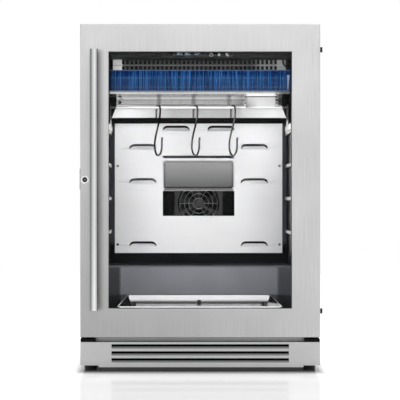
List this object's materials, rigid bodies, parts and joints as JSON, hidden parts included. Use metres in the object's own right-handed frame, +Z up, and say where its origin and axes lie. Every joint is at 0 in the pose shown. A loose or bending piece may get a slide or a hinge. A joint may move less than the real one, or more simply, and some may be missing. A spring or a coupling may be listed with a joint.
{
  "type": "dry aging cabinet",
  "caption": "Undercounter dry aging cabinet: glazed steel door with bar handle and lock, dark chamber with hanging rack, hooks, louvred air duct, shelf rails and drip tray.",
  "frame": {"origin": "centre of the bounding box, at floor level under the feet", "axes": "+Z up, +X to the viewer's right of the door, the door faces -Y"},
  "size_m": [0.6072, 0.63, 0.862],
  "materials": {
    "brushed_steel": "vertical brush",
    "polished_steel": "bright polish",
    "satin_steel": "fine satin",
    "rail_steel": "bright satin",
    "zinc_steel": "galvanised grey",
    "black_steel": "satin black",
    "copper_tone": "drawn tube",
    "dark_liner": "dark grey, lightly glossy",
    "black_plastic": "fine grain",
    "control_black": "gloss black",
    "blue_cover": "gloss deep blue",
    "lamp_glass": "frosted tube",
    "white_plastic": "smooth",
    "foam": "foamed",
    "clear_glass": "clear",
    "black_rubber": "matte"
  },
  "bodies": {
    "cabinet": {"outer_casing": "brushed_steel", "insulation_foam": "foam", "inner_liner": "dark_liner", "base_pan": "zinc_steel", "kick_plate": "brushed_steel", "rear_service_cover": "black_steel", "compressor": "black_steel", "condenser_coil": "zinc_steel", "condenser_fan_shroud": "black_plastic", "discharge_pipe": "copper_tone", "mains_inlet": "black_plastic", "duct_panel": "satin_steel", "evaporator_fan_frame": "black_plastic", "evaporator_coil": "zinc_steel", "air_grille": "satin_steel", "control_housing": "black_plastic", "control_glass": "control_black", "ceiling_plate": "polished_steel", "lamp_cover": "blue_cover", "uv_lamp": "lamp_glass", "sensor_box": "white_plastic", "shelf_rail_left_1": "rail_steel", "shelf_rail_left_2": "rail_steel", "shelf_rail_left_3": "rail_steel", "shelf_rail_left_4": "rail_steel", "shelf_rail_right_1": "rail_steel", "shelf_rail_right_2": "rail_steel", "shelf_rail_right_3": "rail_steel", "shelf_rail_right_4": "rail_steel", "lower_hinge_plate": "black_steel", "left_rest_plate": "black_steel", "upper_hinge_bracket": "black_steel", "lock_keeper": "black_steel", "side_spacer_upper": "black_rubber", "side_spacer_lower": "black_rubber"},
    "condenser_fan": {"condenser_fan_rotor": "black_plastic"},
    "evaporator_fan": {"evaporator_fan_rotor": "black_plastic"},
    "hanging_rack": {"rack_runner_left": "satin_steel", "rack_runner_right": "satin_steel", "hanging_rod": "polished_steel", "deflector_hood": "polished_steel"},
    "hook_left": {"meat_hook_left": "polished_steel"},
    "hook_centre": {"meat_hook_centre": "polished_steel"},
    "hook_right": {"meat_hook_right": "polished_steel"},
    "tray": {"drip_tray": "polished_steel", "drip_tray_grid": "polished_steel"},
    "door": {"door_skin": "brushed_steel", "door_inner_frame": "dark_liner", "glazing_outer_pane": "clear_glass", "glazing_inner_pane": "clear_glass", "glazing_spacer": "black_plastic", "door_gasket": "black_rubber", "door_handle": "brushed_steel", "lock_ring": "polished_steel"},
    "lock": {"lock_cylinder": "polished_steel", "lock_cam": "zinc_steel"},
    "foot_front_left": {"foot_front_left": "black_rubber"},
    "foot_front_right": {"foot_front_right": "black_rubber"},
    "foot_rear_left": {"foot_rear_left": "black_rubber"},
    "foot_rear_right": {"foot_rear_right": "black_rubber"}
  },
  "joints": [
    {"name": "door_swing", "type": "hinge", "parent": "cabinet", "child": "door", "pos_m": [0.28135, -0.245, 0.085], "axis": [0, 0, 1], "range_deg": [0, 105]},
    {"name": "lock_turn", "type": "hinge", "parent": "door", "child": "lock", "pos_m": [-0.28965, -0.26, 0.476], "axis": [0, -1, 0], "range_deg": [0, 90]},
    {"name": "rack_slide", "type": "slide", "parent": "cabinet", "child": "hanging_rack", "axis": [0, -1, 0], "range_m": [0, 0.045]},
    {"name": "tray_slide", "type": "slide", "parent": "cabinet", "child": "tray", "axis": [0, -1, 0], "range_m": [0, 0.045]},
    {"name": "condenser_fan_spin", "type": "hinge", "parent": "cabinet", "child": "condenser_fan", "pos_m": [-0.14865, 0.1646, 0.10015], "axis": [0, 1, 0], "continuous": true},
    {"name": "evaporator_fan_spin", "type": "hinge", "parent": "cabinet", "child": "evaporator_fan", "pos_m": [-0.00365, 0.1682, 0.41598], "axis": [0, 1, 0], "continuous": true},
    {"name": "hook_left_swing", "type": "hinge", "parent": "hanging_rack", "child": "hook_left", "pos_m": [-0.10966, 0.002, 0.6645], "axis": [1, 0, 0], "range_deg": [-20, 20]},
    {"name": "hook_centre_swing", "type": "hinge", "parent": "hanging_rack", "child": "hook_centre", "pos_m": [-0.01315, 0.002, 0.6645], "axis": [1, 0, 0], "range_deg": [-20, 20]},
    {"name": "hook_right_swing", "type": "hinge", "parent": "hanging_rack", "child": "hook_right", "pos_m": [0.08434, 0.002, 0.6645], "axis": [1, 0, 0], "range_deg": [-20, 20]},
    {"name": "foot_front_left_turn", "type": "hinge", "parent": "cabinet", "child": "foot_front_left", "pos_m": [-0.27765, -0.182, 0], "axis": [0, 0, 1], "continuous": true},
    {"name": "foot_front_right_turn", "type": "hinge", "parent": "cabinet", "child": "foot_front_right", "pos_m": [0.27035, -0.182, 0], "axis": [0, 0, 1], "continuous": true},
    {"name": "foot_rear_left_turn", "type": "hinge", "parent": "cabinet", "child": "foot_rear_left", "pos_m": [-0.27765, 0.275, 0], "axis": [0, 0, 1], "continuous": true},
    {"name": "foot_rear_right_turn", "type": "hinge", "parent": "cabinet", "child": "foot_rear_right", "pos_m": [0.27035, 0.275, 0], "axis": [0, 0, 1], "continuous": true}
  ]
}
